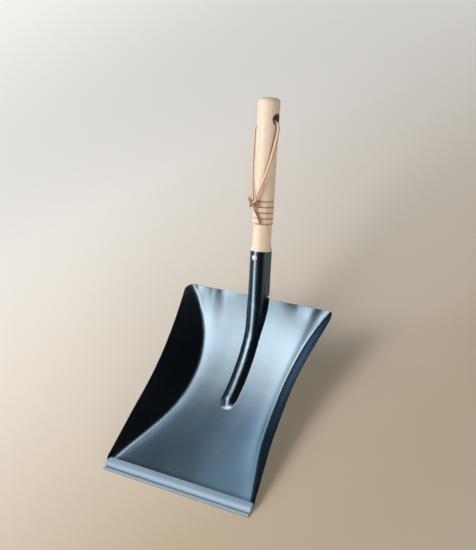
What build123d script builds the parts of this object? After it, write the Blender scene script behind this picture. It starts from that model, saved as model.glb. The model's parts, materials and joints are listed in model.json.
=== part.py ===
"""Hand dustpan: a pressed and rolled steel sheet, a push-on lip, a turned beech handle and a leather lace.

Millimetres. The pan stands as in use: the flat front of its floor lies on the ground, +Y runs back to the
handle, +X is across the pan and +Z is up. The origin is on the ground, under the middle of the dustpan
without its lace.

A station is a distance along the middle of the floor, measured from the nose of the lip: straight along the
flat front, then along the belly's arc. The sheet is drawn at a row of stations, each on a plane square to the
floor.
"""
import os
from math import acos, asin, atan2, cos, hypot, radians, sin, sqrt, tan

from build123d import *

# Sheet: a plain rectangular blank, folded up along two curved creases
sheet = 0.8
blank_width = 227.0
flat_length = 97.0
belly_radius = 222.0
wall_height = 48.0
front_wall_height = 3.0
wall_angle = 45.0
wall_angle_back = 36.0
bend_radius = 10.0
front_edge = 6.0
back_edge = 266.5
front_corner_radius = 9.0
back_corner_radius = 7.0

# Crease: a straight run from the front corner, an arc to the waist and a tighter arc to the back corner
waist_station = 157.0
front_crease_radius = 221.0
back_crease_radius = 170.0

# Ridge: the front of the socket runs out into the floor as a low bead
bead_tip = 121.0
bead_nose = 15.0
bead_height = 6.2
bead_width = 22.0
bead_crest_radius = 9.5
ridge_root_spread = 1.8
ridge_foot_radius = 4.0
ridge_blend = 2.5
ridge_lap = 0.15
tip_share = 0.7

# Socket: the tongue of the blank, rolled round until its edges meet at the back
socket_diameter = 26.0
socket_station = 257.0
socket_rise = 49.0
socket_length = 67.5
socket_mouth_length = 34.0
seam_width = 0.8
socket_lap = 4.0
root_fillet = 4.5
end_spare = 3.0

# Front lip
lip_end_inset = 2.6
lip_depth = 17.0
lip_height = 5.0
lip_back_height = 4.2
lip_sole = 1.2
nose_depth = 4.0
nose_height = 2.6
groove_depth = 0.7
slot_clearance = 0.06

# Handle: distances run along its axis from the rim of the socket
handle_length = 184.0
tenon_length = 46.0
tenon_bevel = 1.0
tenon_clearance = 0.1
shoulder_overhang = 0.35
shoulder_land = 1.2
neck_waist = 3.3
flare_length = 9.5
rings_start = 33.2
ring_pitch = 6.85
ring_count = 4
ring_diameter = 25.5
groove_diameter = 24.2
ring_step = 0.6
grip_start_diameter = 24.8
grip_middle_diameter = 25.5
grip_end_diameter = 27.2
end_round = 5.5
end_crown = 0.8
hole_diameter = 13.0
hole_station = 158.6
hole_bevel = 0.7

# Rivet through the front of the socket
rivet_drop = 8.0
rivet_head_diameter = 7.0
rivet_head_height = 1.9
rivet_shank_diameter = 3.2
rivet_length = 16.0
rivet_clearance = 0.05

# Lace
lace_diameter = 3.0
lace_sides = 8
lace_drop = 1.6
knot_drop = 2.4
knot_width = 11.0
knot_depth = 8.0
knot_length = 13.0
knot_round = 3.9
knot_gap = 3.1


floor_height = lip_sole + slot_clearance + sheet
ridge_root_width = socket_diameter + ridge_root_spread


def floor_angle(s):
    """Slope of the floor at a station, in radians."""
    return max(0.0, (s - flat_length) / belly_radius)


def station(s):
    """Plane square to the floor: x across the pan, y up from it, origin on the floor's upper face."""
    slope = floor_angle(s)
    y = min(s, flat_length) + belly_radius * sin(slope)
    z = floor_height + belly_radius * (1 - cos(slope))
    return Plane(origin=(0, y, z), x_dir=(1, 0, 0), z_dir=(0, -cos(slope), -sin(slope)))


def crease(s):
    """Half width of the floor at a station, out to the crease of the side wall."""
    waist = blank_width / 2 - wall_height
    run = s - waist_station
    if run > 0:
        return waist + back_crease_radius - sqrt(back_crease_radius**2 - run**2)
    aside = front_crease_radius - wall_height + front_wall_height
    ahead = waist_station - front_edge
    turn = atan2(ahead, aside) - acos(front_crease_radius / hypot(aside, ahead))
    arc = front_crease_radius * sin(turn)
    if -run < arc:
        return waist + front_crease_radius - sqrt(front_crease_radius**2 - run**2)
    return waist + front_crease_radius * (1 - cos(turn)) + (-run - arc) * tan(turn)


def wall_turn(s):
    """Angle between the floor and the side wall, in radians: it eases towards the back corner."""
    share = max(0.0, s - waist_station) / (back_edge - waist_station)
    return radians(wall_angle + (wall_angle_back - wall_angle) * share**2)


def wall_top(s):
    """Distance of the side wall's top edge from the middle of the pan."""
    return crease(s) + (blank_width / 2 - crease(s)) * cos(wall_turn(s))


# The socket's axis starts on the floor's upper face, a little before the back edge.
axis_foot = station(socket_station).origin
axis_direction = Vector(0, cos(radians(socket_rise)), sin(radians(socket_rise)))
axis_front = Vector(0, -sin(radians(socket_rise)), cos(radians(socket_rise)))
socket_radius = socket_diameter / 2
bore_radius = socket_radius - sheet
rim = axis_foot + axis_direction * socket_length


def on_handle(across, front, along):
    """Point placed from the rim of the socket: across the pan, to the front of the axis and along it."""
    return rim + Vector(across, 0, 0) + axis_front * front + axis_direction * along


def swell(s):
    """How far the bead has risen at a station, from none at its tip to one behind its nose."""
    share = min(1.0, max(0.0, (s - bead_tip) / bead_nose))
    return share**2 * (3 - 2 * share)


def ridge_height(s):
    """Height of the ridge's crest over the floor: the socket's front, eased into the low bead."""
    bead = bead_height * swell(s)
    if bead == 0:
        return 0.0
    crest = axis_foot + axis_front * (socket_radius + ridge_lap)
    here = station(s)
    square = Vector(0, -sin(floor_angle(s)), cos(floor_angle(s)))
    along = Vector(0, cos(floor_angle(s)), sin(floor_angle(s)))
    to_crest = crest - here.origin
    lean = radians(socket_rise) - floor_angle(s)
    socket = to_crest.dot(square) - to_crest.dot(along) * tan(lean)
    ease = ridge_blend * swell(s)
    return (bead + socket + sqrt((bead - socket) ** 2 + ease**2)) / 2


def ridge_half(s, depth):
    """Right half of the ridge, from crest to floor, on a face that lies a depth under the upper face."""
    height = ridge_height(s)
    share = min(1.0, max(0.0, (height - bead_height) / (socket_radius + ridge_lap - bead_height)))
    bead = bead_width * (tip_share + (1 - tip_share) * swell(s))
    half = (bead + (ridge_root_width - bead_width) * share) / 2
    if height == 0:
        return [(reach * half, -depth) for reach in (0, 0.2, 0.8, 1.0, 1.2)]
    crest_radius = bead_crest_radius + (socket_radius + ridge_lap - bead_crest_radius) * share
    low = height - crest_radius
    flank = atan2(low, half) + asin(crest_radius / hypot(half, low))
    foot_x = half + ridge_foot_radius * tan(flank / 2)
    crest = crest_radius - depth
    foot = ridge_foot_radius + depth
    return [
        (0, low + crest),
        (crest * sin(flank), low + crest * cos(flank)),
        (foot_x - foot * sin(flank), ridge_foot_radius - foot * cos(flank)),
        (foot_x - foot * sin(flank / 2), ridge_foot_radius - foot * cos(flank / 2)),
        (foot_x, -depth),
    ]


def wall_half(s, depth):
    """Right bend and wall, from floor to top edge, on a face that lies a depth under the upper face."""
    turn = wall_turn(s)
    wall = blank_width / 2 - crease(s)
    radius = min(bend_radius, 0.75 * wall / tan(turn / 2))
    centre_x = crease(s) - radius * tan(turn / 2)
    reach = radius + depth
    return [
        (centre_x, -depth),
        (centre_x + reach * sin(turn / 2), radius - reach * cos(turn / 2)),
        (centre_x + reach * sin(turn), radius - reach * cos(turn)),
        (wall_top(s) + depth * sin(turn), wall * sin(turn) - depth * cos(turn)),
    ]


def flip(point):
    """The same point on the other side of the pan."""
    return (-point[0], point[1])


def bend(first, middle, last):
    """Cubic curve along the arc through three points, which is straight where they lie in line."""
    chord = Vector(*last) - Vector(*first)
    sag = Vector(*middle) - Vector(*first) - chord / 2
    reach = (1 - (2 * sag.length / chord.length) ** 2) / 3
    leaving = Vector(*first) + chord * reach + sag * 4 / 3
    arriving = Vector(*last) - chord * reach + sag * 4 / 3
    return Bezier(first, leaving, arriving, last)


def face_edges(s, depth):
    """Edges of one face of the sheet, from the left wall's top across the ridge to the right wall's top."""
    crest, shoulder, flank, foot, floor = ridge_half(s, depth)
    edge, middle, wall, top = wall_half(s, depth)
    rest = ((floor[0] + edge[0]) / 2, -depth)
    right = [
        Line(shoulder, flank),
        bend(flank, foot, floor),
        Line(floor, rest),
        Line(rest, edge),
        bend(edge, middle, wall),
        Line(wall, top),
    ]
    left = [
        Line(flip(top), flip(wall)),
        bend(flip(wall), flip(middle), flip(edge)),
        Line(flip(edge), flip(rest)),
        Line(flip(rest), flip(floor)),
        bend(flip(floor), flip(foot), flip(flank)),
        Line(flip(flank), flip(shoulder)),
    ]
    return left + [bend(flip(shoulder), crest, shoulder)] + right


def sheet_outline(s, spare=0.0):
    """Outline of the sheet at a station, grown by a spare all round."""
    upper = face_edges(s, -spare)
    lower = face_edges(s, sheet + spare)
    right_cap = Line(upper[-1] @ 1, lower[-1] @ 1)
    left_cap = Line(lower[0] @ 0, upper[0] @ 0)
    lower = [Edge.reversed(edge.edge()) for edge in reversed(lower)]
    ring = upper + [right_cap] + lower + [left_cap]
    # The loft starts its seam on the plain left half of the floor
    seam_edge = 3
    ring = ring[seam_edge:] + ring[:seam_edge]
    return station(s) * Wire([edge.edge() for edge in ring])


def spread(first, last, steps):
    """Evenly spaced stations."""
    return [first + (last - first) * i / steps for i in range(steps + 1)]


def floor_plane(s):
    """Plane lying on the floor's upper face: x across the pan, y back along the floor."""
    here = station(s)
    return Plane(here.origin, x_dir=(1, 0, 0), z_dir=here.y_dir)


def corner_waste(corner, first, second, radius):
    """Waste outside a rounded corner, between two directions that run from the corner along the edges."""
    first = first.normalized()
    second = second.normalized()
    inward = (first + second).normalized()
    half = radians(first.get_angle(second)) / 2
    start = corner + first * (radius / tan(half))
    end = corner + second * (radius / tan(half))
    middle = corner + inward * (radius / sin(half) - radius)
    outside = -inward * (blank_width / 8)
    rest = Polyline(end, end + outside, start + outside, start)
    return make_face([ThreePointArc(start, middle, end), rest])


os.makedirs("parts", exist_ok=True)

# Pan: the sheet is lofted in lengths, between the stations where its curves change, and past both ends
loft_start = front_edge - end_spare
loft_end = back_edge + root_fillet + end_spare
socket_foot = socket_station - ridge_root_width
borders = [loft_start, flat_length / 2, flat_length, bead_tip, bead_tip + bead_nose, waist_station]
borders += [(waist_station + socket_foot) / 2, socket_foot, loft_end]
lengths = []
for first, last in zip(borders, borders[1:]):
    lengths.append(Solid.make_loft([sheet_outline(s) for s in spread(first, last, 4)]))
front_length = lengths[0]
back_length = lengths[-1]

# Back edge: straight, with a fillet up each side of the socket and rounded outer corners
outer = wall_top(back_edge)
fillet_end = socket_radius + root_fillet
diagonal = root_fillet * (1 - cos(radians(45)))
beyond = loft_end - back_edge + outer
back_waste = make_face(
    [
        Polyline((0, beyond), (0, 0), (bore_radius, 0), (bore_radius, root_fillet)),
        Line((bore_radius, root_fillet), (socket_radius, root_fillet)),
        ThreePointArc((socket_radius, root_fillet), (socket_radius + diagonal, diagonal), (fillet_end, 0)),
        Polyline((fillet_end, 0), (outer * 1.3, 0), (outer * 1.3, beyond), (0, beyond)),
    ]
)
back_lean = wall_top(back_edge) - wall_top(back_edge - back_corner_radius)
back_waste += corner_waste(
    Vector(outer, 0), Vector(-1, 0), Vector(-back_lean, -back_corner_radius), back_corner_radius
)
back_waste += mirror(back_waste, Plane.YZ)
back_length -= extrude(floor_plane(back_edge) * back_waste, amount=blank_width / 4, both=True)

# Front edge: straight, with rounded corners
front_half = wall_top(front_edge)
front_lean = front_half - wall_top(front_edge + front_corner_radius)
front_waste = Pos(0, -end_spare) * Rectangle(3 * front_half, 2 * end_spare)
right_corner = corner_waste(
    Vector(front_half, 0), Vector(-1, 0), Vector(-front_lean, front_corner_radius), front_corner_radius
)
front_waste += [right_corner, mirror(right_corner, Plane.YZ)]
front_length -= extrude(floor_plane(front_edge) * front_waste, amount=blank_width / 4, both=True)

# Socket: a tube that carries on from the end of the ridge, with a seam that opens into the ridge's hollow
socket_plane = Plane(axis_foot, x_dir=(1, 0, 0), z_dir=axis_direction)
socket_start = back_edge - socket_station - socket_lap
ridge_end = Box(
    2 * socket_radius - sheet,
    2 * socket_diameter,
    socket_diameter,
    align=(Align.CENTER, Align.MAX, Align.MIN),
)
back_length -= socket_plane * Pos(0, 0, socket_start) * ridge_end
socket_run = socket_length - socket_start
tube = Cylinder(socket_radius, socket_run) - Cylinder(bore_radius, socket_run)
wide = socket_radius + sheet
seam = seam_width / 2
mouth_half = make_face(
    [
        Polyline((0, -1), (wide, -1), (wide, socket_mouth_length / 5)),
        ThreePointArc(
            (wide, socket_mouth_length / 5),
            (wide * 0.3, socket_mouth_length / 2),
            (seam, socket_mouth_length),
        ),
        Polyline((seam, socket_mouth_length), (seam, socket_run + 1), (0, socket_run + 1), (0, -1)),
    ]
)
mouth = extrude(Plane.XZ * (mouth_half + mirror(mouth_half, Plane.YZ)), amount=-wide)
tube = socket_plane * Pos(0, 0, socket_start) * (Pos(0, 0, socket_run / 2) * tube - mouth)

# Rivet: a domed head seated on the socket, and a shank that tapers to a point in the wood
rivet_plane = Plane(on_handle(0, 0, -rivet_drop), x_dir=(1, 0, 0), z_dir=axis_front)
head_half = rivet_head_diameter / 2
head_foot = sqrt(socket_radius**2 - head_half**2)
head_top = socket_radius + rivet_head_height
shank_half = rivet_shank_diameter / 2
head_profile = make_face(
    [
        Polyline((0, head_foot), (head_half, head_foot), (head_half, socket_radius)),
        TangentArc((0, head_top), (head_half, socket_radius), tangent=(1, 0)),
        Line((0, head_top), (0, head_foot)),
    ]
)
head = revolve(Plane.XZ * head_profile, Axis.Z) - Rot(90, 0, 0) * Cylinder(socket_radius, 4 * head_half)
shank_end = socket_radius - rivet_length
shank_profile = make_face(
    Polyline(
        (0, socket_radius + rivet_head_height / 2),
        (shank_half, socket_radius + rivet_head_height / 2),
        (shank_half, shank_end + 2 * rivet_shank_diameter),
        (0, shank_end),
        (0, socket_radius + rivet_head_height / 2),
    )
)
socket_rivet = rivet_plane * (head + revolve(Plane.XZ * shank_profile, Axis.Z))
pilot = rivet_plane * Pos(0, 0, socket_radius - rivet_length / 2)
pilot *= Cylinder(shank_half + rivet_clearance, rivet_length + 2 * rivet_clearance)
pan = back_length + tube - pilot
pan = pan.solid().fuse(front_length.solid(), *lengths[1:-1])

# Front lip: a moulded strip with a bead along its nose, slotted for the edge of the sheet
half_nose = nose_height / 2
rise = nose_depth + groove_depth
lip_crest = ((rise + lip_depth) / 2, lip_height)
lip_profile = make_face(
    [
        Line((lip_depth, 0), (half_nose, 0)),
        ThreePointArc((half_nose, 0), (0, half_nose), (half_nose, nose_height)),
        Line((half_nose, nose_height), (nose_depth - groove_depth, nose_height)),
        ThreePointArc(
            (nose_depth - groove_depth, nose_height),
            (nose_depth, nose_height - groove_depth),
            (rise, nose_height),
        ),
        TangentArc(lip_crest, (rise, nose_height), tangent=(-1, 0)),
        TangentArc(lip_crest, (lip_depth, lip_back_height), tangent=(1, 0)),
        Line((lip_depth, lip_back_height), (lip_depth, 0)),
    ]
)
front_lip = extrude(Plane.YZ * lip_profile, amount=wall_top(front_edge) - lip_end_inset, both=True)
slot_stops = spread(front_edge - slot_clearance, lip_depth + front_edge, 4)
front_lip -= Solid.make_loft([sheet_outline(s, slot_clearance) for s in slot_stops])

# Handle: turned, with four rings, a lateral hole for the lace and a tenon that fills the socket
neck = (socket_diameter - neck_waist) / 2
shoulder = socket_radius + shoulder_overhang
flare_run = flare_length - shoulder_land
flare_radius = ((shoulder - neck) ** 2 + flare_run**2) / (2 * (shoulder - neck))
flare_middle = neck + flare_radius - sqrt(flare_radius**2 - (flare_run / 2) ** 2)
tenon = bore_radius - tenon_clearance
groove = groove_diameter / 2
grip_start = rings_start + ring_pitch * ring_count + ring_step
grip_end = handle_length - end_crown - end_round
tip = grip_end_diameter / 2
grip_pull = grip_middle_diameter - (grip_start_diameter + grip_end_diameter) / 4
grip_from = Vector(grip_start_diameter / 2, grip_start)
grip_by = Vector(grip_pull, (grip_start + grip_end) / 2)
grip_to = Vector(tip, grip_end)
hole_band = (hole_station - hole_diameter - grip_start) / (grip_end - grip_start)
lower_pull = grip_from + (grip_by - grip_from) * hole_band
upper_pull = grip_by + (grip_to - grip_by) * hole_band
grip_split = lower_pull + (upper_pull - lower_pull) * hole_band
corner = end_round * sin(radians(45))
outline = [
    Polyline((0, -tenon_length), (tenon - tenon_bevel, -tenon_length), (tenon, tenon_bevel - tenon_length)),
    Polyline((tenon, tenon_bevel - tenon_length), (tenon, 0), (shoulder, 0)),
    Line((shoulder, 0), (shoulder, shoulder_land)),
    ThreePointArc(
        (shoulder, shoulder_land), (flare_middle, shoulder_land + flare_run / 2), (neck, flare_length)
    ),
    Polyline((neck, flare_length), (neck, rings_start - ring_step), (groove, rings_start)),
]
for i in range(ring_count):
    low = rings_start + ring_pitch * i
    outline.append(
        ThreePointArc((groove, low), (ring_diameter / 2, low + ring_pitch / 2), (groove, low + ring_pitch))
    )
outline += [
    Line((groove, grip_start - ring_step), (grip_start_diameter / 2, grip_start)),
    Bezier(grip_from, lower_pull, grip_split),
    Bezier(grip_split, upper_pull, grip_to),
    ThreePointArc(
        (tip, grip_end),
        (tip - end_round + corner, grip_end + corner),
        (tip - end_round, grip_end + end_round),
    ),
    TangentArc((0, handle_length), (tip - end_round, grip_end + end_round), tangent=(1, 0)),
    Line((0, handle_length), (0, -tenon_length)),
]
handle_plane = Plane(rim, x_dir=(1, 0, 0), z_dir=axis_direction)
handle = revolve(Plane.YZ * make_face(outline), Axis.Z)
hole = Pos(0, 0, hole_station) * Rot(0, 90, 0) * Cylinder(hole_diameter / 2, 2 * grip_end_diameter)
handle -= hole
round_walls = handle.faces().filter_by(GeomType.CYLINDER)
hole_wall = min(round_walls, key=lambda wall: abs(wall.radius - hole_diameter / 2))
handle = chamfer(hole_wall.edges().filter_by(GeomType.BSPLINE), hole_bevel)
handle = handle_plane * handle - pilot

# Lace: both ends come through the hole and down the handle into one knot, with a long and a short tail
lace_top = hole_station - lace_drop
knot_along = grip_start - knot_drop


def handle_radius(along):
    """Radius of the handle at a distance from the rim of the socket, over its rings and grip."""
    share = max(0.0, (along - grip_start) / (grip_end - grip_start))
    if share == 0:
        return ring_diameter / 2
    pull = 2 * share * (1 - share) * grip_pull
    return (1 - share) ** 2 * grip_start_diameter / 2 + pull + share**2 * tip


def beside_handle(turn, gap, share):
    """Point of the lace: degrees from the handle's front to its right, gap to the wood, share of its way."""
    along = knot_along + (lace_top - knot_along) * share
    reach = handle_radius(along) + lace_diameter / 2 + gap
    return on_handle(reach * sin(radians(turn)), reach * cos(radians(turn)), along)


def through_hole(side):
    """First points of a strand, from the middle of the hole to its mouth on one side."""
    mouth = handle_radius(lace_top) + lace_diameter / 8
    return [
        on_handle(0, 0.5, lace_top),
        on_handle(side * mouth / 2, 0.5, lace_top),
        on_handle(side * mouth, 0.8, lace_top - lace_drop),
    ]


right_route = through_hole(1) + [
    beside_handle(83.8, 2.3, 0.914),
    beside_handle(76.6, 2.7, 0.837),
    beside_handle(67.8, 2.1, 0.715),
    beside_handle(54.1, 1.5, 0.542),
    beside_handle(33.5, 1.6, 0.338),
    beside_handle(12.1, 1.8, 0.165),
    beside_handle(-1.0, 3.0, 0.038),
]
left_route = through_hole(-1) + [
    beside_handle(-81.4, 2.3, 0.898),
    beside_handle(-75.3, 1.9, 0.796),
    beside_handle(-66.2, 1.7, 0.623),
    beside_handle(-53.0, 1.7, 0.399),
    beside_handle(-37.9, 2.0, 0.201),
    beside_handle(-13.1, 3.3, 0.038),
]
long_tail_route = [
    beside_handle(-8.1, 2.7, -0.034),
    beside_handle(-6.0, 1.2, -0.086),
    beside_handle(6.9, 1.0, -0.136),
    beside_handle(17.9, 1.0, -0.187),
    beside_handle(24.5, 1.0, -0.246),
]
short_tail_route = [
    beside_handle(-19.4, 4.4, 0.014),
    beside_handle(-25.5, 5.6, 0.039),
    beside_handle(-30.0, 5.7, 0.067),
]
knot_place = beside_handle(-7.3, knot_gap, 0)


def lace_tube(name, route):
    """Tube along a route, each bend as large as its two runs allow."""
    runs = [after - before for before, after in zip(route, route[1:])]
    bends = []
    for before, after in zip(runs, runs[1:]):
        half = radians(before.get_angle(after)) / 2
        bends.append(0.45 * min(before.length, after.length) / tan(half))
    path = FilletPolyline(*route, radius=bends)
    section = Plane(route[0], z_dir=runs[0]) * RegularPolygon(lace_diameter / 2, lace_sides)
    tube = sweep(section, path=path)
    print(name, "runs", [round(run.length, 1) for run in runs])
    print(name, "radii", [round(radius, 1) for radius in bends])
    print(name, "volume over section times length", round(tube.volume / (section.area * path.length), 4))
    return tube


lace_right_strand = lace_tube("lace_right_strand", right_route)
lace_left_strand = lace_tube("lace_left_strand", left_route)
lace_long_tail = lace_tube("lace_long_tail", long_tail_route)
lace_short_tail = lace_tube("lace_short_tail", short_tail_route)
lace_knot = fillet(Box(knot_width, knot_depth, knot_length).edges(), knot_round)
lace_knot = Plane(knot_place, x_dir=(1, 0, 0), z_dir=axis_direction) * lace_knot

solids = {
    "pan": pan,
    "front_lip": front_lip,
    "handle": handle,
    "socket_rivet": socket_rivet,
    "lace_right_strand": lace_right_strand,
    "lace_left_strand": lace_left_strand,
    "lace_knot": lace_knot,
    "lace_long_tail": lace_long_tail,
    "lace_short_tail": lace_short_tail,
}
body = Compound([pan, front_lip, handle, socket_rivet]).bounding_box()
to_origin = Pos(-body.center().X, -body.center().Y, -body.min.Z)
for name, solid in solids.items():
    placed = to_origin * solid
    print(name, "volume", round(placed.volume, 1), "valid", placed.is_valid, "solids", len(placed.solids()))
    export_step(placed, "parts/" + name + ".step")
print("moved by", to_origin.position)
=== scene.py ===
# %% [markdown]
# # A hand dustpan
# A sheet-steel dustpan with a rubber lip, a turned beech handle and a leather lace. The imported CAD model
# is the fixed frame: it gives every place and size, in metres, and this script adds what CAD leaves
# plain.

# %% Load the frame
import bmesh
import bpy
import json
from math import cos, pi, radians, sin
from mathutils import Matrix, Vector

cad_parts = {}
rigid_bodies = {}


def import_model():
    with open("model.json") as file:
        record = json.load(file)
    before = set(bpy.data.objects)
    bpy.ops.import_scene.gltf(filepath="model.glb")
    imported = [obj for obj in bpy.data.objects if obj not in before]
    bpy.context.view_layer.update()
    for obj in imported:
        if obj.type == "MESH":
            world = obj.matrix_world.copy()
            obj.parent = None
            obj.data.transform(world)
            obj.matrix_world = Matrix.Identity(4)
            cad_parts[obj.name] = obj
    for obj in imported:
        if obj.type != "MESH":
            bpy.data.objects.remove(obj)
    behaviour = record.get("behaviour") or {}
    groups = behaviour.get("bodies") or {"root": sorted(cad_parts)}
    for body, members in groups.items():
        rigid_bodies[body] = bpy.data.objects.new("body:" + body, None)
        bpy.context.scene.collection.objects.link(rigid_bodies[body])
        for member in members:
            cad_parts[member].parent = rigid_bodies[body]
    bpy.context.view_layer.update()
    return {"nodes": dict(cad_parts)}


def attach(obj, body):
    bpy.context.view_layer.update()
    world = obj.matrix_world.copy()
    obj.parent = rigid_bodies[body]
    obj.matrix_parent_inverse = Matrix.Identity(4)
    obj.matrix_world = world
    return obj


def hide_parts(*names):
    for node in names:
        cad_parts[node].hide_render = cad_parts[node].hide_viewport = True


for leftover in list(bpy.data.objects):
    bpy.data.objects.remove(leftover)
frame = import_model()
print("CAD nodes:", sorted(frame["nodes"]))

# %% [markdown]
# The camera stands in front of the pan, to its right and above it. It could be set by eye. Here its place
# and turn were worked out from the photograph, by matching the lip, the handle and the outline of the
# sheet. A long lens keeps the handle slender.

# %% Camera
camera_place = (0.8992, -0.6776, 1.0975)
camera_right = Vector((0.7879, 0.4963, -0.3645))
camera_up = Vector((-0.1515, 0.7300, 0.6664))
turn = Matrix((camera_right, camera_up, camera_right.cross(camera_up))).transposed().to_4x4()
lens = bpy.data.cameras.new("camera")
lens.sensor_width = 36
lens.lens = 83.1
camera = bpy.data.objects.new("camera", lens)
camera.matrix_world = Matrix.Translation(camera_place) @ turn
bpy.context.collection.objects.link(camera)
bpy.context.scene.camera = camera
bpy.context.scene.view_settings.view_transform = "Standard"
print("camera at", [round(value, 3) for value in camera.location])

# %% [markdown]
# Node trees are easier to read as sums than as boxes and wires. This class wraps one socket of a tree, so
# that `1 - grain * 0.3` adds the Math nodes that work it out. Its `node` method adds any other node.


# %% Socket arithmetic
class Wire:
    """One output of a node tree. Sums with it add Math nodes to the tree."""

    def __init__(self, tree, socket=None):
        self.tree = tree
        self.socket = socket

    def node(self, kind, settings=None, inputs=None, output=0):
        """Adds a node, sets it up, fills or links its sockets and returns one of its outputs."""
        made = self.tree.nodes.new(kind)
        for name, value in (settings or {}).items():
            setattr(made, name, value)
        for name, value in (inputs or {}).items():
            if isinstance(value, Wire):
                self.tree.links.new(value.socket, made.inputs[name])
            else:
                made.inputs[name].default_value = value
        return Wire(self.tree, made.outputs[output])

    def maths(self, operation, first, second=0.0):
        """Adds a Math node for one operation on one or two values."""
        return self.node("ShaderNodeMath", {"operation": operation}, {0: first, 1: second})

    def __add__(self, other):
        return self.maths("ADD", self, other)

    def __radd__(self, other):
        return self.maths("ADD", other, self)

    def __sub__(self, other):
        return self.maths("SUBTRACT", self, other)

    def __rsub__(self, other):
        return self.maths("SUBTRACT", other, self)

    def __mul__(self, other):
        return self.maths("MULTIPLY", self, other)

    def __rmul__(self, other):
        return self.maths("MULTIPLY", other, self)

    def __truediv__(self, other):
        return self.maths("DIVIDE", self, other)

    def __pow__(self, other):
        return self.maths("POWER", self, other)


# %% [markdown]
# Four more steps come back in nearly every finish: a mix of two colours, a ramp between two limits, a
# place's distance in one direction, and the link of a result to a socket of the shader.


# %% Node helpers
def blend(wire, share, first, second):
    """Mixes two colours."""
    inputs = {"Factor": share, 6: first, 7: second}
    return wire.node("ShaderNodeMix", {"data_type": "RGBA"}, inputs, output=2)


def ramp(wire, value, none, full, shape="LINEAR"):
    """How far a value has gone from one limit to another, between 0 and 1."""
    inputs = {"Value": value, "From Min": none, "From Max": full}
    return wire.node("ShaderNodeMapRange", {"interpolation_type": shape}, inputs)


def reach_in(wire, place, way):
    """How far a place lies in a direction."""
    inputs = {0: place, 1: way}
    return wire.node("ShaderNodeVectorMath", {"operation": "DOT_PRODUCT"}, inputs, output="Value")


def feed(shader, name, wire):
    """Links a wire to one of a shader's sockets."""
    wire.tree.links.new(wire.socket, shader.inputs[name])


# %% [markdown]
# The studio is one flat floor of pale paper that runs out of sight, so no view shows an edge of it. Near
# the dustpan it is lit by the lamps and keeps the shadow, which the camera sees a little lifted. That
# glow is for the camera alone, so it puts no light on the dustpan. The paper's colour goes from tan in
# front to nearly white behind, as a paper sweep does. Far out, where no lamp reaches, the camera and the
# mirrors see it as plain pale paper, so that no view ends in a black horizon.

# %% Floor
far_edge = 60
floor_mesh = bpy.data.meshes.new("floor")
floor_corners = [(x * far_edge, y * far_edge, 0) for x, y in ((-1, -1), (1, -1), (1, 1), (-1, 1))]
floor_mesh.from_pydata(floor_corners, [], [(0, 1, 2, 3)])
floor = bpy.data.objects.new("floor", floor_mesh)
bpy.context.collection.objects.link(floor)
paper = bpy.data.materials.new("pale_paper")
paper.use_nodes = True
floor_mesh.materials.append(paper)
print("floor:", 2 * far_edge, "m wide")

# %% Floor paper
tan_paper = (0.54, 0.45, 0.335, 1)
white_paper = (0.90, 0.87, 0.82, 1)
far_paper = (0.90, 0.88, 0.85, 1)
black = (0, 0, 0, 1)
to_the_back = (-0.786, 0.618, 0)
sweep_start, sweep_end = -0.20, 0.45
near_reach, far_reach = 0.25, 1.25
shadow_lift, lit_level = 0.3, 0.75
shader = paper.node_tree.nodes["Principled BSDF"]
wire = Wire(paper.node_tree)
place = wire.node("ShaderNodeTexCoord", output="Object")
swept_back = ramp(wire, reach_in(wire, place, to_the_back), sweep_start, sweep_end)
sweep = blend(wire, swept_back, tan_paper, white_paper)
from_middle = wire.node("ShaderNodeVectorMath", {"operation": "LENGTH"}, {0: place}, output="Value")
far_out = ramp(wire, from_middle, near_reach, far_reach, "SMOOTHSTEP")
from_camera = wire.node("ShaderNodeLightPath", output="Is Camera Ray")
mirrored = wire.node("ShaderNodeLightPath", output="Is Glossy Ray") * far_out ** 2
lifted = from_camera * (1 - far_out) * shadow_lift
near_glow = blend(wire, lifted * lit_level, black, sweep)
feed(shader, "Base Color", blend(wire, far_out + lifted, sweep, black))
feed(shader, "Emission Color", blend(wire, far_out * (from_camera + mirrored), near_glow, far_paper))
shader.inputs["Emission Strength"].default_value = 1.0
shader.inputs["Roughness"].default_value = 0.9
shader.inputs["Specular IOR Level"].default_value = 0.1
print("paper:", len(paper.node_tree.nodes), "nodes")

# %% [markdown]
# Dark steel shows its lamps as a mirror does, so the lamps shape it. A plain area lamp would leave a hard
# edge in the sheet. Each lamp here is a panel that is brightest in its middle and fades to nothing at its
# edges, as cloth lit from behind does.


# %% Soft panel
def soft_light(name, place, aim, size, power, colour, in_mirrors=True):
    """A panel of light that stands at a place, faces an aim and fades from its middle to its edges."""
    panel_middle = (0.5, 0.5, 0)
    lamp = bpy.data.lights.new(name, "AREA")
    lamp.shape = "RECTANGLE"
    lamp.size, lamp.size_y = size
    lamp.energy = power
    lamp.color = colour
    lamp.use_nodes = True
    wire = Wire(lamp.node_tree)
    spot = wire.node("ShaderNodeNewGeometry", output="Parametric")
    off = wire.node("ShaderNodeVectorMath", {"operation": "SUBTRACT"}, {0: spot, 1: panel_middle})
    reach = wire.node("ShaderNodeVectorMath", {"operation": "LENGTH"}, {0: off}, output="Value") * 2
    fade = wire.maths("MAXIMUM", 1 - reach ** 2, 0.0) ** 2
    feed(lamp.node_tree.nodes["Emission"], "Strength", fade)
    holder = bpy.data.objects.new(name, lamp)
    holder.location = place
    holder.rotation_mode = "QUATERNION"
    holder.rotation_quaternion = (Vector(aim) - holder.location).to_track_quat("-Z", "Y")
    holder.visible_glossy = in_mirrors
    bpy.context.collection.objects.link(holder)
    print(name, "at", [round(value, 2) for value in holder.location])


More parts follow.
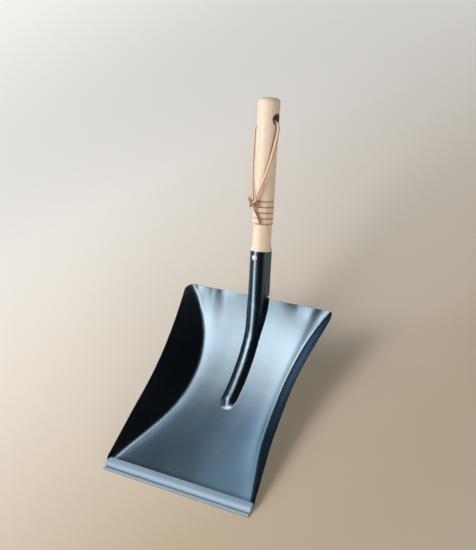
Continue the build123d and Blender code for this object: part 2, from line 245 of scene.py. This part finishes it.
# %% [markdown]
# The window stands at the left, in front of the handle, and brightens the belly and the back of the
# sheet. A cool panel behind it gives the flat front its blue. A long strip draws the bright line on the
# bend of the left wall, a small panel hangs overhead, and one far off at the front left makes the stripe
# on the tube. The last two light wood, rubber and paper from both sides. Mirrors do not show them, so the
# steel that turns away from the window stays dark. The air adds hardly any light.

# %% Lamps
middle = (0, 0, 0.08)
plain, warm, pale, cool = (1.0, 0.98, 0.95), (1.0, 0.90, 0.84), (0.80, 0.93, 1.0), (0.70, 0.87, 1.0)
soft_light("window", (-0.43, -0.44, 0.82), middle, (1.22, 1.22), 27.5, warm)
soft_light("strip", (-0.36, -1.43, 1.28), (-0.36, -1.43, 0), (0.60, 6.4), 21, plain)
soft_light("overhead", (-0.045, -0.148, 1.27), middle, (0.87, 0.87), 4.2, plain)
soft_light("left_back", (-0.343, 0.192, 0.902), middle, (0.80, 0.80), 4.4, cool)
soft_light("front_left", (-0.78, -1.65, 0.90), middle, (0.9, 0.9), 19, plain)
soft_light("left_side", (-1.6, 0.15, 1.05), middle, (0.7, 0.7), 32, pale, in_mirrors=False)
soft_light("fill", (2.2, -0.6, 0.60), middle, (2.2, 2.2), 106, warm, in_mirrors=False)

# %% Air
world = bpy.data.worlds.new("studio")
bpy.context.scene.world = world
world.use_nodes = True
air = world.node_tree.nodes["Background"]
air.inputs["Color"].default_value = (0.9, 0.95, 1.0, 1)
air.inputs["Strength"].default_value = 0.008
print("air at", round(air.inputs["Strength"].default_value, 3))

# %% [markdown]
# The lace is a thin strip of soft leather. It goes through the hole near the handle's end, and both its
# ends come down the front of the handle to one knot. Each half is a smooth NURBS line that follows the
# route of its CAD solid from the middle of the hole: the right one to the tip of its tail, the left one
# into the knot. Places are given on the handle, in millimetres: across it, in front of its axis, and
# along it from the rim of the socket.

# %% Lace routes
rise = radians(49.0)
rim = Vector((0, 0.07980, 0.10821))
along_handle = Vector((0, cos(rise), sin(rise)))
front_of_handle = Vector((0, -sin(rise), cos(rise)))
right_route = [
    (0, 0.5, 157.0), (6.8, 0.5, 157.0), (13.6, 0.8, 155.4), (17.2, 1.8, 148.6), (17.6, 4.2, 141.0),
    (16.6, 6.6, 129.0), (14.4, 9.6, 112.0), (10.2, 13.2, 92.0), (4.2, 15.6, 75.0), (-0.3, 16.9, 62.5),
    (-2.4, 16.8, 55.5), (-1.6, 15.4, 50.4), (1.8, 15.1, 45.4), (4.7, 14.5, 40.4), (6.3, 13.9, 34.6),
]
left_route = [
    (0, 0.5, 157.0), (-6.8, 0.5, 157.0), (-13.6, 0.8, 155.4), (-16.7, 2.5, 147.0), (-15.8, 4.1, 137.0),
    (-14.6, 6.4, 120.0), (-12.6, 9.5, 98.0), (-9.8, 12.6, 78.5), (-3.9, 16.8, 62.5), (-3.0, 17.6, 57.0),
]
short_end = [(-3.0, 17.8, 58.4), (-6.2, 17.8, 60.2), (-8.4, 17.6, 62.6), (-9.8, 17.0, 65.4)]
print("lace routes:", len(right_route), len(left_route), len(short_end), "points")


# %% Smooth line
def on_handle(across, front, along):
    """A place on the handle in millimetres, as a point of the frame in metres."""
    return rim + (Vector((across, 0, 0)) + front_of_handle * front + along_handle * along) / 1000


def plain_mesh(maker):
    """The mesh of an object as its modifiers leave it."""
    bpy.context.view_layer.update()
    return bpy.data.meshes.new_from_object(maker.evaluated_get(bpy.context.evaluated_depsgraph_get()))


def smooth_line(name, places, closed=False):
    """A NURBS curve with these places as its control points, and the points that it runs through."""
    curve = bpy.data.curves.new(name, "CURVE")
    curve.dimensions = "3D"
    curve.resolution_u = 10
    spline = curve.splines.new("NURBS")
    spline.points.add(len(places) - 1)
    for point, place in zip(spline.points, places):
        point.co = (*on_handle(*place), 1)
    spline.order_u = 3
    spline.use_endpoint_u = not closed
    spline.use_cyclic_u = closed
    line = bpy.data.objects.new(name, curve)
    bpy.context.collection.objects.link(line)
    sampled = plain_mesh(line)
    points = [vertex.co.copy() for vertex in sampled.vertices]
    bpy.data.meshes.remove(sampled)
    return line, points


def length_of(points):
    """How long a line is that runs through these points."""
    return sum((after - before).length for before, after in zip(points, points[1:]))


# %% [markdown]
# A round cord could be a curve with a bevel, but this lace is flat. So one Geometry Nodes tree turns any
# of these lines into lace: a rounded strip swept along the line, which turns a little on its way as a
# real strip does, and may thin towards its tail. It stores how far along the lace and how near its cut
# edges each point lies, for the leather finish.

# %% Lace tree inputs
lace_width, lace_thickness, usual_twist = 0.0036, 0.0020, 1.5
lace_sizes = {"Width": lace_width, "Thickness": lace_thickness, "Twist": usual_twist, "Thinning": 0.0}
leather = bpy.data.materials.new("lace_leather")
lace_tree = bpy.data.node_groups.new("lace_strip", "GeometryNodeTree")
lace_tree.is_modifier = True
lace_inputs = {}
lace_tree.interface.new_socket("Geometry", in_out="INPUT", socket_type="NodeSocketGeometry")
for label, amount in lace_sizes.items():
    entry = lace_tree.interface.new_socket(label, in_out="INPUT", socket_type="NodeSocketFloat")
    entry.default_value = amount
    lace_inputs[label] = entry.identifier
lace_tree.interface.new_socket("Geometry", in_out="OUTPUT", socket_type="NodeSocketGeometry")
way_in = lace_tree.nodes.new("NodeGroupInput")
way_out = lace_tree.nodes.new("NodeGroupOutput")
width, thickness, twist, thinning = (Wire(lace_tree, way_in.outputs[label]) for label in lace_inputs)
print("lace tree inputs:", list(lace_inputs))

# %% Lace line
thin_from, thin_to = 0.80, 0.87
strip = Wire(lace_tree, way_in.outputs["Geometry"])
on_points = {"data_type": "FLOAT", "domain": "POINT"}
gone = strip.node("GeometryNodeSplineParameter", output="Length")
part_gone = strip.node("GeometryNodeSplineParameter", output="Factor")
marking = {"Geometry": strip, "Name": "along", "Value": gone}
marked = strip.node("GeometryNodeStoreNamedAttribute", on_points, marking)
turned = strip.node("GeometryNodeSetCurveTilt", {}, {"Curve": marked, "Tilt": twist * part_gone})
thinned = 1 - thinning * ramp(strip, part_gone, thin_from, thin_to)
drawn = strip.node("GeometryNodeSetCurveRadius", {}, {"Curve": turned, "Radius": thinned})
print("lace line:", len(lace_tree.nodes), "nodes")

# %% Lace strip
round_outline = {"Resolution": 20, "Radius": 0.5}
outline = strip.node("GeometryNodeCurvePrimitiveCircle", {"mode": "RADIUS"}, round_outline)
outline_place = strip.node("GeometryNodeInputPosition")
from_centre = strip.node("ShaderNodeSeparateXYZ", {}, {"Vector": outline_place}, output="X")
marking = {"Geometry": outline, "Name": "edge", "Value": strip.maths("ABSOLUTE", from_centre) * 2}
outline = strip.node("GeometryNodeStoreNamedAttribute", on_points, marking)
flat = strip.node("ShaderNodeCombineXYZ", {}, {"X": width, "Y": thickness, "Z": 1.0})
outline = strip.node("GeometryNodeTransform", {}, {"Geometry": outline, "Scale": flat})
sweeping = {"Curve": drawn, "Profile Curve": outline, "Fill Caps": True}
swept = strip.node("GeometryNodeCurveToMesh", {}, sweeping)
smooth = strip.node("GeometryNodeSetShadeSmooth", {}, {"Geometry": swept, "Shade Smooth": True})
real = strip.node("GeometryNodeRealizeInstances", {}, {"Geometry": smooth})
done = strip.node("GeometryNodeSetMaterial", {}, {"Geometry": real, "Material": leather})
lace_tree.links.new(done.socket, way_out.inputs["Geometry"])
print("lace strip:", len(lace_tree.nodes), "nodes")


# %% Lace pieces
def lace_piece(name, places, twist_turn, closed=False, thinner=0.0):
    """A piece of lace along a route: a plain mesh, and the points of its middle line."""
    line, points = smooth_line(name + "_line", places, closed)
    maker = line.modifiers.new("lace", "NODES")
    maker.node_group = lace_tree
    maker[lace_inputs["Twist"]] = twist_turn
    maker[lace_inputs["Thinning"]] = thinner
    mesh = plain_mesh(line)
    line.modifiers.remove(maker)
    bpy.data.objects.remove(line)
    mesh.name = name
    piece = bpy.data.objects.new(name, mesh)
    bpy.context.collection.objects.link(piece)
    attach(piece, "root")
    print(name, len(mesh.polygons), "faces,", round(length_of(points), 4), "m")
    return piece, points


right_lace, right_points = lace_piece("lace_right", right_route, 1.6, thinner=0.45)
left_lace, left_points = lace_piece("lace_left", left_route, -1.2)
short_lace = lace_piece("lace_short_end", short_end, 0.6)[0]

# %% [markdown]
# Both halves of the lace run through one knot, and the short end sticks out of it. A knot could be drawn
# as one long line, but pulled tight only its outer turns show. So its turns are closed loops of the same
# strip, drawn tight round the two halves, each a little askew.

# %% Knot
knot_across, knot_along = -2.2, 58.6
turn_points = 10


def knot_turn(name, tilt, wide, deep, front):
    """One turn of the knot round the two halves of the lace."""
    places = []
    for i in range(turn_points):
        angle = 2 * pi * i / turn_points
        across = knot_across + wide * cos(angle)
        places.append((across, front + deep * sin(angle), knot_along + tilt * cos(angle)))
    return lace_piece(name, places, 0.0, closed=True)[0]


upper_turn = knot_turn("knot_upper_turn", 4.0, 5.2, 3.0, 17.2)
lower_turn = knot_turn("knot_lower_turn", -4.0, 5.0, 4.0, 18.0)
inner_turn = knot_turn("knot_inner_turn", 0.6, 4.4, 3.2, 17.4)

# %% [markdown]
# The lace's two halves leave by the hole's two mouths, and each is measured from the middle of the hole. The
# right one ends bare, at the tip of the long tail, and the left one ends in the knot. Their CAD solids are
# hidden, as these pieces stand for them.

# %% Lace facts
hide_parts("lace_knot")
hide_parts("lace_right_strand", "lace_long_tail")
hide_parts("lace_left_strand")
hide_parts("lace_short_tail")
mouth_across, mouth_front, mouth_along = 13.6, 0.8, 155.0
for piece, points, side, end in ((right_lace, right_points, 1, "bare"), (left_lace, left_points, -1, "knot")):
    mouth = on_handle(side * mouth_across, mouth_front, mouth_along)
    length_of(points)
    print(piece.name, "is a cord of", round(length_of(points), 3), "m")

# %% [markdown]
# Each finish starts from one Principled shader, and builds on noise that may be stretched one way, as
# rolled steel and wood grain are. A picture wrapped round a piece would need a seam, and noise needs
# none. A relief is a real height in metres, so that it looks the same on a small and a large piece.


# %% Finish helpers
def start_finish(material):
    """Leaves a material one Principled shader, and returns a wire, the place on the piece and the shader."""
    material.use_nodes = True
    tree = material.node_tree
    tree.nodes.clear()
    shader = tree.nodes.new("ShaderNodeBsdfPrincipled")
    output = tree.nodes.new("ShaderNodeOutputMaterial")
    tree.links.new(shader.outputs["BSDF"], output.inputs["Surface"])
    wire = Wire(tree)
    return wire, wire.node("ShaderNodeTexCoord", output="Object"), shader


def stretched(wire, place, scale, turn=(0, 0, 0)):
    """The place, turned and stretched, for patterns that run one way."""
    inputs = {"Vector": place, "Rotation": turn, "Scale": scale}
    return wire.node("ShaderNodeMapping", {"vector_type": "TEXTURE"}, inputs)


def cloud(wire, place, scale, detail=3.0, roughness=0.5):
    """Soft noise between 0 and 1."""
    inputs = {"Vector": place, "Scale": scale, "Detail": detail, "Roughness": roughness}
    return wire.node("ShaderNodeTexNoise", {"noise_dimensions": "3D"}, inputs)


def relief(wire, height, distance):
    """Turns a height into a bump, where a height of 1 stands for a distance in metres."""
    return wire.node("ShaderNodeBump", {}, {"Height": height, "Distance": distance})


# %% [markdown]
# The sheet is thin steel with a dark blue, satin skin. The rolled sheet shows faint lines from front to back
# and soft patches. Just behind the lip it is painted darker, as painted shade from the lip's back edge.

# %% Blued steel
blue_skin = (0.116, 0.168, 0.214, 1)
pale_skin = (0.143, 0.204, 0.254, 1)
lip_shade_skin = (0.018, 0.026, 0.034, 1)
lip_shade_end, lip_back, lip_shade_share = -0.184, -0.190, 0.6
blued = bpy.data.materials.new("blued_steel")
wire, place, shader = start_finish(blued)
sideways = wire.node("ShaderNodeSeparateXYZ", {}, {"Vector": place}, output="X")
back = wire.node("ShaderNodeSeparateXYZ", {}, {"Vector": place}, output="Y")
across = wire.maths("ABSOLUTE", sideways)
rolling = cloud(wire, stretched(wire, place, (0.0012, 0.09, 0.0012)), 1.0, 3.0, 0.6)
patches = cloud(wire, place, 16.0, 4.0, 0.55)
grain = cloud(wire, place, 1400.0, 2.0, 0.6)
skin = blend(wire, patches * 0.6 + rolling * 0.4, blue_skin, pale_skin)
# Painted shade: the sheet is coloured darker just behind the lip's back edge.
painted_lip_shade = ramp(wire, back, lip_shade_end, lip_back) * lip_shade_share
feed(shader, "Base Color", blend(wire, painted_lip_shade, skin, lip_shade_skin))
feed(shader, "Roughness", 0.23 + patches * 0.05 + grain * 0.03)
shader.inputs["Metallic"].default_value = 1.0
shader.inputs["Specular Tint"].default_value = (0.42, 0.52, 0.62, 1)
print("blued steel:", len(blued.node_tree.nodes), "nodes")

# %% [markdown]
# No pressed sheet is as true as its drawing, and a mirror shows it. The mesh could be bent, but the shape
# has to stay the CAD shape, so a relief bends the reflections alone. A long shallow wave runs through the
# sheet, and the belly starts to rise a little before its line. The sheet rises early into its left wall,
# and dips a little before its right one. This roll follows the crease, whose distance from the middle
# line grows with the square of the distance from the waist. Heights are in millimetres, and all other
# sizes in metres.

# %% Belly and walls
belly_start, waist, waist_half = -0.111, -0.0518, 0.0655
belly_run, roll_middle, roll_run = 0.045, 0.004, 0.008
wave_height, belly_height, ripple_height = 1.4, 3.0, 0.5
roll_left, roll_right = 0.9, -1.5
front_widening, back_widening = 2.13, 2.94
waves = cloud(wire, place, 11.0, 1.0, 0.4) * wave_height
rise_start = wire.maths("ARCTANGENT", (back - belly_start) / belly_run) * belly_height
behind_waist = back - waist
is_behind = wire.maths("GREATER_THAN", behind_waist, 0.0)
widening = is_behind * (back_widening - front_widening) + front_widening
beside = behind_waist ** 2 * widening + waist_half - across
roll_height = ramp(wire, sideways, 0.03, -0.03) * (roll_left - roll_right) + roll_right
crease_roll = wire.maths("ARCTANGENT", (roll_middle - beside) / roll_run) + pi / 2
crease_roll = crease_roll * roll_height * (ramp(wire, back, -0.2, -0.09) * 0.8 + 0.5)
ripple = cloud(wire, stretched(wire, place, (0.05, 0.011, 0.05)), 1.0, 1.0, 0.4)
ripple = ripple * ramp(wire, beside, -0.012, -0.022) * ripple_height
print("belly and walls:", len(blued.node_tree.nodes), "nodes")

# %% [markdown]
# Behind the belly the press leaves puckers that run to the back edge, deeper on the left, and the edge
# itself curls up a little. All these heights go into one relief, with the grain of the skin.

# %% Back edge
pucker_left, pucker_right, curl_height = 1.6, 0.3, 2.4
grain_height, rolling_height = 0.004, 0.006
millimetre = 0.001
to_back_edge = ramp(wire, back, 0.002, 0.043) * ramp(wire, across, 0.012, 0.060, "SMOOTHSTEP")
puckers = cloud(wire, stretched(wire, place, (0.020, 0.09, 0.05)), 1.0, 1.0, 0.4) * to_back_edge
puckers = puckers * (ramp(wire, sideways, -0.01, -0.05) * (pucker_left - pucker_right) + pucker_right)
height = waves + rise_start + crease_roll + ripple + puckers + to_back_edge ** 3 * curl_height
height = height + grain * grain_height + rolling * rolling_height
feed(shader, "Normal", relief(wire, height, millimetre))
print("blued steel with its relief:", len(blued.node_tree.nodes), "nodes")

# %% [markdown]
# The sheet keeps its CAD shape. The CAD mesh comes in patches that each have normals of their own, and
# satin steel shows the joins between them as faint bands. So a copy is merged into one skin, its normals
# are worked out afresh, with more weight for large faces so that flats stay flat, and only the real edges
# of the sheet stay sharp.

# %% Pressed sheet
join_distance, sharp_angle = 1e-6, radians(32)
joined = bmesh.new()
joined.from_mesh(frame["nodes"]["pan"].data)
bmesh.ops.remove_doubles(joined, verts=joined.verts, dist=join_distance)
open_edges = sum(not edge.is_manifold for edge in joined.edges)
joined_mesh = bpy.data.meshes.new("joined_sheet")
joined.to_mesh(joined_mesh)
joined.free()
if "custom_normal" in joined_mesh.attributes:
    joined_mesh.attributes.remove(joined_mesh.attributes["custom_normal"])
joined_mesh.shade_smooth()
joined_mesh.set_sharp_from_angle(angle=sharp_angle)
joined_mesh.materials.clear()
joined_mesh.materials.append(blued)
print("joined sheet:", len(joined_mesh.polygons), "faces,", open_edges, "open edges")

# %% Even normals
sheet = bpy.data.objects.new("pressed_sheet", joined_mesh)
bpy.context.collection.objects.link(sheet)
evener = sheet.modifiers.new("even_normals", "WEIGHTED_NORMAL")
evener.mode = "FACE_AREA_WITH_ANGLE"
evener.keep_sharp = True
sheet_mesh = plain_mesh(sheet)
sheet_mesh.name = "pressed_sheet"
sheet.modifiers.remove(evener)
sheet.data = sheet_mesh
bpy.data.meshes.remove(joined_mesh)
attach(sheet, "root")
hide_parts("pan")
print("pressed sheet:", len(sheet_mesh.polygons), "faces")

# %% [markdown]
# The lip is a moulded rubber strip, nearly the colour of the sheet. Rubber is not a metal: its colour is its
# own, under a broad soft gloss, with a fine moulded grain. One groove runs along it, painted dark inside as
# painted shade.

# %% Lip rubber
slate = (0.21, 0.31, 0.41, 1)
pale_slate = (0.255, 0.37, 0.475, 1)
groove_painted_shade = (0.025, 0.04, 0.06, 1)
lip_groove, groove_rim, groove_floor = -0.2040, 0.0013, 0.0004
mould_grain = 0.00004
rubber = bpy.data.materials.new("lip_rubber")
wire, place, shader = start_finish(rubber)
patches = cloud(wire, place, 40.0, 4.0, 0.6)
grain = cloud(wire, place, 2200.0, 2.0, 0.6)
back = wire.node("ShaderNodeSeparateXYZ", {}, {"Vector": place}, output="Y")
in_groove = ramp(wire, wire.maths("ABSOLUTE", back - lip_groove), groove_rim, groove_floor)
colour = blend(wire, patches, slate, pale_slate)
# Painted shade: the inside of the groove is coloured dark.
feed(shader, "Base Color", blend(wire, in_groove * 0.8, colour, groove_painted_shade))
feed(shader, "Roughness", 0.24 + patches * 0.08 + grain * 0.05)
feed(shader, "Normal", relief(wire, grain, mould_grain))
shader.inputs["Specular IOR Level"].default_value = 0.8
shader.inputs["Specular Tint"].default_value = (0.72, 0.88, 1.0, 1)
frame["nodes"]["front_lip"].material_slots[0].material = rubber
print("lip rubber:", len(rubber.node_tree.nodes), "nodes")

# %% [markdown]
# Beech is a pale, even wood. Its long grain runs along the handle, so every noise is stretched that way:
# broad bands, a finer mottle, hair-thin fibre, and the short dark flecks that are typical of beech.

# %% Beech grain
pale_wood = (0.92, 0.83, 0.715, 1)
golden_wood = (0.78, 0.60, 0.42, 1)
fleck_wood = (0.42, 0.25, 0.14, 1)
fibre_height = 0.00012
beech = bpy.data.materials.new("turned_beech")
wire, place, shader = start_finish(beech)
grain_way = (rise - pi / 2, 0, 0)
bands = cloud(wire, stretched(wire, place, (0.004, 0.004, 0.07), grain_way), 1.0, 4.0, 0.6)
mottle = cloud(wire, stretched(wire, place, (0.0020, 0.0020, 0.010), grain_way), 1.0, 2.0, 0.6)
fibre = cloud(wire, stretched(wire, place, (0.00025, 0.00025, 0.012), grain_way), 1.0, 2.0, 0.6)
rays = cloud(wire, stretched(wire, place, (0.0007, 0.0007, 0.006), grain_way), 1.0, 1.0, 0.5)
fleck = ramp(wire, rays, 0.60, 0.72)
gold_share = ramp(wire, bands * 0.6 + mottle * 0.3 + fibre * 0.1, 0.3, 0.7)
tone = blend(wire, gold_share, pale_wood, golden_wood)
tone = blend(wire, fleck * 0.4, tone, fleck_wood)
feed(shader, "Roughness", 0.36 + bands * 0.14)
feed(shader, "Normal", relief(wire, fibre * 0.7 + fleck * 0.3, fibre_height))
print("beech grain:", len(beech.node_tree.nodes), "nodes")

# %% [markdown]
# The turned grooves between the rings are scorched brown, as by a wire held against the turning wood. On the
# right side, away from the lamps, they are painted darker, as painted shade. The hole for the lace is dark
# inside: the end grain's own darker colour, with painted shade over it.

# %% Beech rings and hole
scorched_and_shaded_wood = (0.30, 0.135, 0.055, 1)
hole_grain_and_shade = (0.15, 0.042, 0.018, 1)
first_groove, ring_pitch, hole_place = 0.0332, 0.00685, 0.1586
burn_edge, burn_middle = 0.0014, 0.0003
hole_rim, hole_wall = 0.0072, 0.0064
from_rim = wire.node("ShaderNodeVectorMath", {"operation": "SUBTRACT"}, {0: place, 1: rim})
along = reach_in(wire, from_rim, along_handle)
front = reach_in(wire, from_rim, front_of_handle)
turn_number = (along - first_groove) / ring_pitch
off_groove = wire.maths("ABSOLUTE", turn_number - wire.maths("ROUND", turn_number)) * ring_pitch
at_rings = wire.maths("LESS_THAN", wire.maths("ABSOLUTE", turn_number - 2.0), 2.2)
sideways = wire.node("ShaderNodeSeparateXYZ", {}, {"Vector": place}, output="X")
# Painted shade: the grooves darken more on the right side, away from the lamps.
shaded_right_side = ramp(wire, sideways, -0.011, 0.002)
scorch_and_shade = ramp(wire, off_groove, burn_edge, burn_middle) * at_rings * (shaded_right_side * 0.6 + 0.25)
# Painted shade: the inside of the hole is coloured nearly black, over its darker end grain.
from_hole = wire.maths("SQRT", (along - hole_place) ** 2 + front ** 2)
in_hole = ramp(wire, from_hole, hole_rim, hole_wall)
tone = blend(wire, scorch_and_shade * (0.6 + bands * 0.6), tone, scorched_and_shaded_wood)
feed(shader, "Base Color", blend(wire, in_hole * 0.92, tone, hole_grain_and_shade))
frame["nodes"]["handle"].material_slots[0].material = beech
print("beech with rings and hole:", len(beech.node_tree.nodes), "nodes")

# %% [markdown]
# The rivet's head is steel, rubbed by the tool that set it. A full metal would mostly mirror the dark around
# it, so it is drawn as a pale surface with only a little metal in it, and its pale colour is a painted
# highlight.

# %% Rivet steel
painted_highlight_dull = (0.90, 0.89, 0.87, 1)
painted_highlight_clean = (0.97, 0.96, 0.94, 1)
bright = bpy.data.materials.new("rivet_steel")
wire, place, shader = start_finish(bright)
rubbed = cloud(wire, place, 900.0, 3.0, 0.6)
# Painted highlight: the pale base colour stands in for the lamps' reflection.
feed(shader, "Base Color", blend(wire, rubbed, painted_highlight_dull, painted_highlight_clean))
feed(shader, "Roughness", 0.20 + rubbed * 0.12)
shader.inputs["Metallic"].default_value = 0.15
frame["nodes"]["socket_rivet"].material_slots[0].material = bright
print("rivet steel:", len(bright.node_tree.nodes), "nodes")

# %% [markdown]
# The lace is pale, undyed leather: smooth on top, with fine pores. It is darker at its edges, partly the cut
# edges' own colour and partly painted shade where the strip turns from the light. The long tail is painted
# darker too, as painted shade. Both follow the attributes that the lace tree stored.

# %% Lace leather
pink_hide = (0.70, 0.47, 0.33, 1)
pale_hide = (0.84, 0.64, 0.49, 1)
tail_shade_hide = (0.30, 0.15, 0.08, 1)
edge_and_shade_hide = (0.22, 0.10, 0.05, 1)
edge_from, edge_to = 0.50, 0.92
tail_from, tail_to = 0.113, 0.121
pore_depth = 0.00015
wire, place, shader = start_finish(leather)
pores = cloud(wire, place, 2600.0, 3.0, 0.6)
blotch = cloud(wire, place, 120.0, 3.0, 0.6)
near_edge = wire.node("ShaderNodeAttribute", {"attribute_name": "edge"}, output="Fac")
along_lace = wire.node("ShaderNodeAttribute", {"attribute_name": "along"}, output="Fac")
# Partly painted shade: the strip darkens towards its edges.
edge_and_shade = ramp(wire, near_edge, edge_from, edge_to)
tail = ramp(wire, along_lace, tail_from, tail_to)
hide = blend(wire, blotch * 0.7 + pores * 0.3, pink_hide, pale_hide)
# Painted shade: the long tail is coloured darker.
hide = blend(wire, tail * 0.85, hide, tail_shade_hide)
feed(shader, "Base Color", blend(wire, edge_and_shade * (0.5 + blotch * 0.5), hide, edge_and_shade_hide))
feed(shader, "Roughness", 0.55 + pores * 0.25)
feed(shader, "Normal", relief(wire, pores, pore_depth))
print("lace leather:", len(leather.node_tree.nodes), "nodes")
